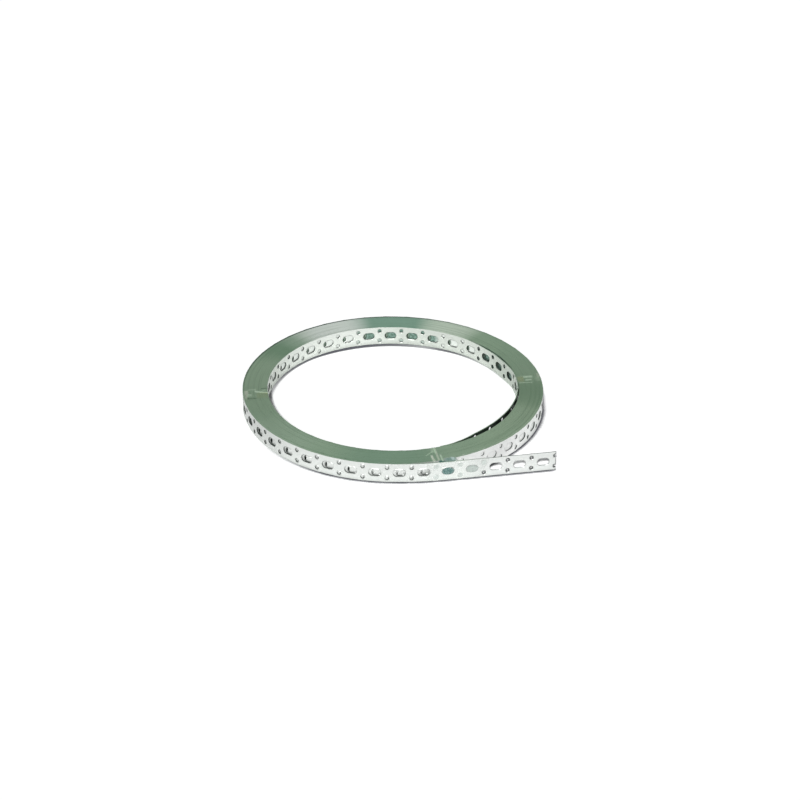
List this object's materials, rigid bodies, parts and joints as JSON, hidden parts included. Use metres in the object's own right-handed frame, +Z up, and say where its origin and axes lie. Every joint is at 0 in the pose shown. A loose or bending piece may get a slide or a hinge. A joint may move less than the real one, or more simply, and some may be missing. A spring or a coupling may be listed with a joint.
{
  "type": "roll of perforated metal strap",
  "caption": "Flat galvanised steel strap with alternating slots and pairs of nail holes, wound into a roll with an open eye and taped, its free end running off straight.",
  "frame": {"origin": "on the axis of the roll, at the level of the floor that the roll lies on", "axes": "+Z up along the axis of the roll, +X the way the free end of the strap runs, -Y the side of the roll that the free end leaves"},
  "size_m": [0.2604, 0.2625, 0.0174],
  "materials": {
    "zinc_steel": "bright zinc coat on the flat faces; the sheared edges that show on the ends of the roll are a muted grey-green",
    "clear_tape": "clear adhesive film, glossy and wrinkled, very slightly yellow-green"
  },
  "bodies": {
    "root": {"strap": "zinc_steel", "tape_left": "clear_tape", "tape_right": "clear_tape", "tape_front": "clear_tape"}
  },
  "joints": []
}
